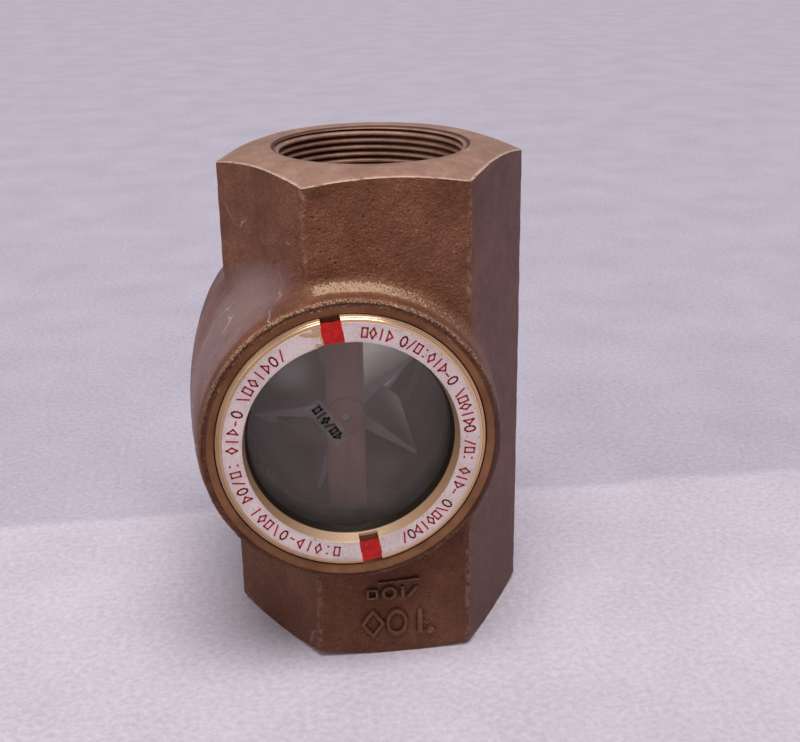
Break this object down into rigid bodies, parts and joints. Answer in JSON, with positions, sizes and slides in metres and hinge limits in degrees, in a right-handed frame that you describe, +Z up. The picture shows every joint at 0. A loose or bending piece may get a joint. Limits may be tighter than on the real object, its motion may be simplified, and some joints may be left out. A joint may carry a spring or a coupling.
{
  "type": "sight glass",
  "caption": "Inline flow sight glass: cast bronze hexagonal body with threaded pipe ports, two round glass windows in brass retaining rings and a spinning paddle rotor.",
  "frame": {"origin": "centre of the lower pipe port in the bottom face", "axes": "+Z up the pipe axis to the upper port, front window towards -Y"},
  "size_m": [0.1078, 0.1026, 0.1555],
  "materials": {
    "cast_bronze": "sand-cast, dull",
    "ring_brass": "machined",
    "strap_bronze": "rolled strip",
    "label_white": "printed film, grimy",
    "label_red": "printed film",
    "window_glass": "toughened, slightly hazy",
    "black_rubber": "matte",
    "slip_plastic": "smooth",
    "rotor_plastic": "moulded, translucent",
    "shaft_steel": "ground",
    "clear_film": "clear film with black print"
  },
  "bodies": {
    "housing": {"body_casting": "cast_bronze", "front_retaining_ring": "ring_brass", "front_label_ring": "label_white", "front_slot_markers": "label_red", "front_window_glass": "window_glass", "front_seal_gasket": "black_rubber", "front_cushion_gasket": "black_rubber", "front_slip_washer": "slip_plastic", "front_bracket_strap": "strap_bronze", "front_shaft_boss": "ring_brass", "front_thrust_washer": "slip_plastic", "rear_retaining_ring": "ring_brass", "rear_label_ring": "label_white", "rear_slot_markers": "label_red", "rear_window_glass": "window_glass", "rear_seal_gasket": "black_rubber", "rear_cushion_gasket": "black_rubber", "rear_slip_washer": "slip_plastic", "rear_bracket_strap": "strap_bronze", "rear_shaft_boss": "ring_brass", "rear_thrust_washer": "slip_plastic", "rotor_shaft": "shaft_steel", "inspection_sticker": "clear_film"},
    "rotor": {"rotor": "rotor_plastic", "front_rotor_bush": "slip_plastic", "rear_rotor_bush": "slip_plastic"}
  },
  "joints": [
    {"name": "rotor_spin", "type": "hinge", "parent": "housing", "child": "rotor", "pos_m": [-0.0126, 0, 0.07775], "axis": [0, 1, 0], "continuous": true}
  ]
}
